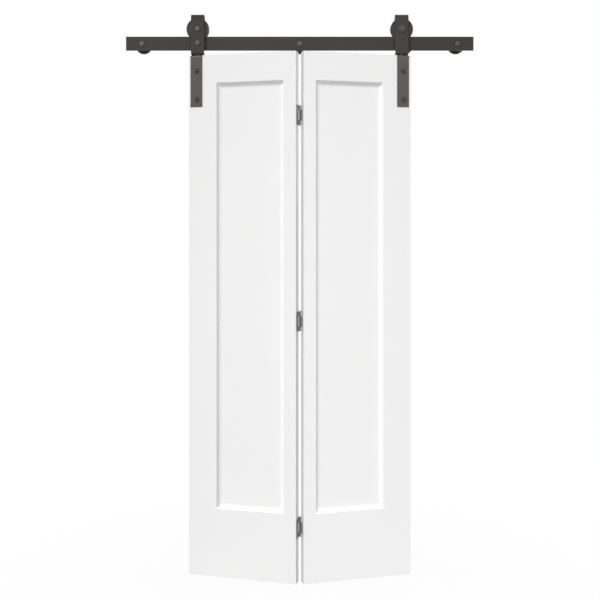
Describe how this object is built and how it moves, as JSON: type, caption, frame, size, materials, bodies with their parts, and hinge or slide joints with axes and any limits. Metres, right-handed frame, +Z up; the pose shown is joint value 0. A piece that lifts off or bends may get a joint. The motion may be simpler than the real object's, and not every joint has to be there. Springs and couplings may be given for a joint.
{
  "type": "bifold closet door",
  "caption": "Two-leaf folding panel door hung from a flat wall rail by a fixed and a rolling strap hanger, with spacers, lag bolts and leaf hinges.",
  "frame": {"origin": "where the middle lag bolt's axis meets the wall face, on the rail's centre line", "axes": "+X to the right along the rail, +Y into the wall, +Z up"},
  "size_m": [1.432, 0.2324, 2.3036],
  "materials": {
    "track_coating": "dark bronze powder coat, fine satin",
    "strap_coating": "dark bronze powder coat, fine satin",
    "wheel_coating": "dark bronze powder coat",
    "bolt_coating": "dark oxide bolts, slightly paler than the straps",
    "bearing_steel": "ground bearing steel",
    "thrust_washer": "black nylon",
    "leaf_skin": "moulded fibreboard, white satin paint",
    "leaf_edge": "softwood edge, white satin paint",
    "core_board": "plain brown board",
    "hinge_zinc": "dull zinc plated steel"
  },
  "bodies": {
    "track": {"track_rail": "track_coating", "wall_spacers": "track_coating", "lag_bolts": "bolt_coating", "lag_washers": "bolt_coating", "fixed_hanger_strap": "strap_coating", "fixing_bolt": "bolt_coating", "fixing_sleeve": "bolt_coating", "fixing_washer": "bolt_coating", "fixing_nut": "bolt_coating", "fixed_axle_bolt": "bolt_coating", "fixed_axle_sleeve": "bolt_coating", "fixed_axle_nut": "bolt_coating", "fixed_axle_spacers": "bolt_coating", "fixed_bearing_inner_ring": "bearing_steel", "fixed_pivot_rivet": "bolt_coating", "fixed_pivot_washer": "thrust_washer"},
    "fixed_wheel": {"fixed_wheel": "wheel_coating", "fixed_bearing_outer_ring": "bearing_steel", "fixed_bearing_balls": "bearing_steel"},
    "left_leaf": {"left_leaf_front_skin": "leaf_skin", "left_leaf_back_skin": "leaf_skin", "left_leaf_outer_stile": "leaf_edge", "left_leaf_hinge_stile": "leaf_edge", "left_leaf_top_rail": "leaf_edge", "left_leaf_bottom_rail": "leaf_edge", "left_leaf_honeycomb_core": "core_board", "left_leaf_strap": "strap_coating", "left_leaf_strap_bolts": "bolt_coating", "left_leaf_strap_washers": "bolt_coating", "left_leaf_strap_nuts": "bolt_coating", "top_hinge_outer_plate": "hinge_zinc", "middle_hinge_outer_plate": "hinge_zinc", "bottom_hinge_outer_plate": "hinge_zinc", "hinge_pins": "hinge_zinc", "left_hinge_screws": "hinge_zinc"},
    "right_leaf": {"right_leaf_front_skin": "leaf_skin", "right_leaf_back_skin": "leaf_skin", "right_leaf_outer_stile": "leaf_edge", "right_leaf_hinge_stile": "leaf_edge", "right_leaf_top_rail": "leaf_edge", "right_leaf_bottom_rail": "leaf_edge", "right_leaf_honeycomb_core": "core_board", "right_leaf_strap": "strap_coating", "right_leaf_strap_bolts": "bolt_coating", "right_leaf_strap_washers": "bolt_coating", "right_leaf_strap_nuts": "bolt_coating", "top_hinge_inner_plate": "hinge_zinc", "middle_hinge_inner_plate": "hinge_zinc", "bottom_hinge_inner_plate": "hinge_zinc", "right_hinge_screws": "hinge_zinc"},
    "trolley": {"rolling_hanger_strap": "strap_coating", "rolling_axle_bolt": "bolt_coating", "rolling_axle_nut": "bolt_coating", "rolling_axle_spacers": "bolt_coating", "rolling_bearing_inner_ring": "bearing_steel", "rolling_pivot_rivet": "bolt_coating", "rolling_pivot_washer": "thrust_washer"},
    "rolling_wheel": {"rolling_wheel": "wheel_coating", "rolling_bearing_outer_ring": "bearing_steel", "rolling_bearing_balls": "bearing_steel"}
  },
  "joints": [
    {"name": "left_swivel", "type": "hinge", "parent": "track", "child": "left_leaf", "pos_m": [-0.41967, -0.051, 0], "axis": [0, 0, -1], "range_deg": [-15, 65]},
    {"name": "centre_hinge", "type": "hinge", "parent": "left_leaf", "child": "right_leaf", "pos_m": [0, -0.12877, 0], "axis": [0, 0, 1], "range_deg": [-30, 130]},
    {"name": "right_swivel", "type": "hinge", "parent": "right_leaf", "child": "trolley", "pos_m": [0.41967, -0.051, 0], "axis": [0, 0, -1], "range_deg": [-15, 65]},
    {"name": "fixed_wheel_spin", "type": "hinge", "parent": "track", "child": "fixed_wheel", "pos_m": [-0.41967, -0.051, 0.0579], "axis": [0, 1, 0], "continuous": true},
    {"name": "rolling_wheel_spin", "type": "hinge", "parent": "trolley", "child": "rolling_wheel", "pos_m": [0.41967, -0.051, 0.0579], "axis": [0, 1, 0], "continuous": true}
  ],
  "couplings": [
    {"joint": "centre_hinge", "follows": "left_swivel", "ratio": 2},
    {"joint": "right_swivel", "follows": "left_swivel", "ratio": 1}
  ]
}
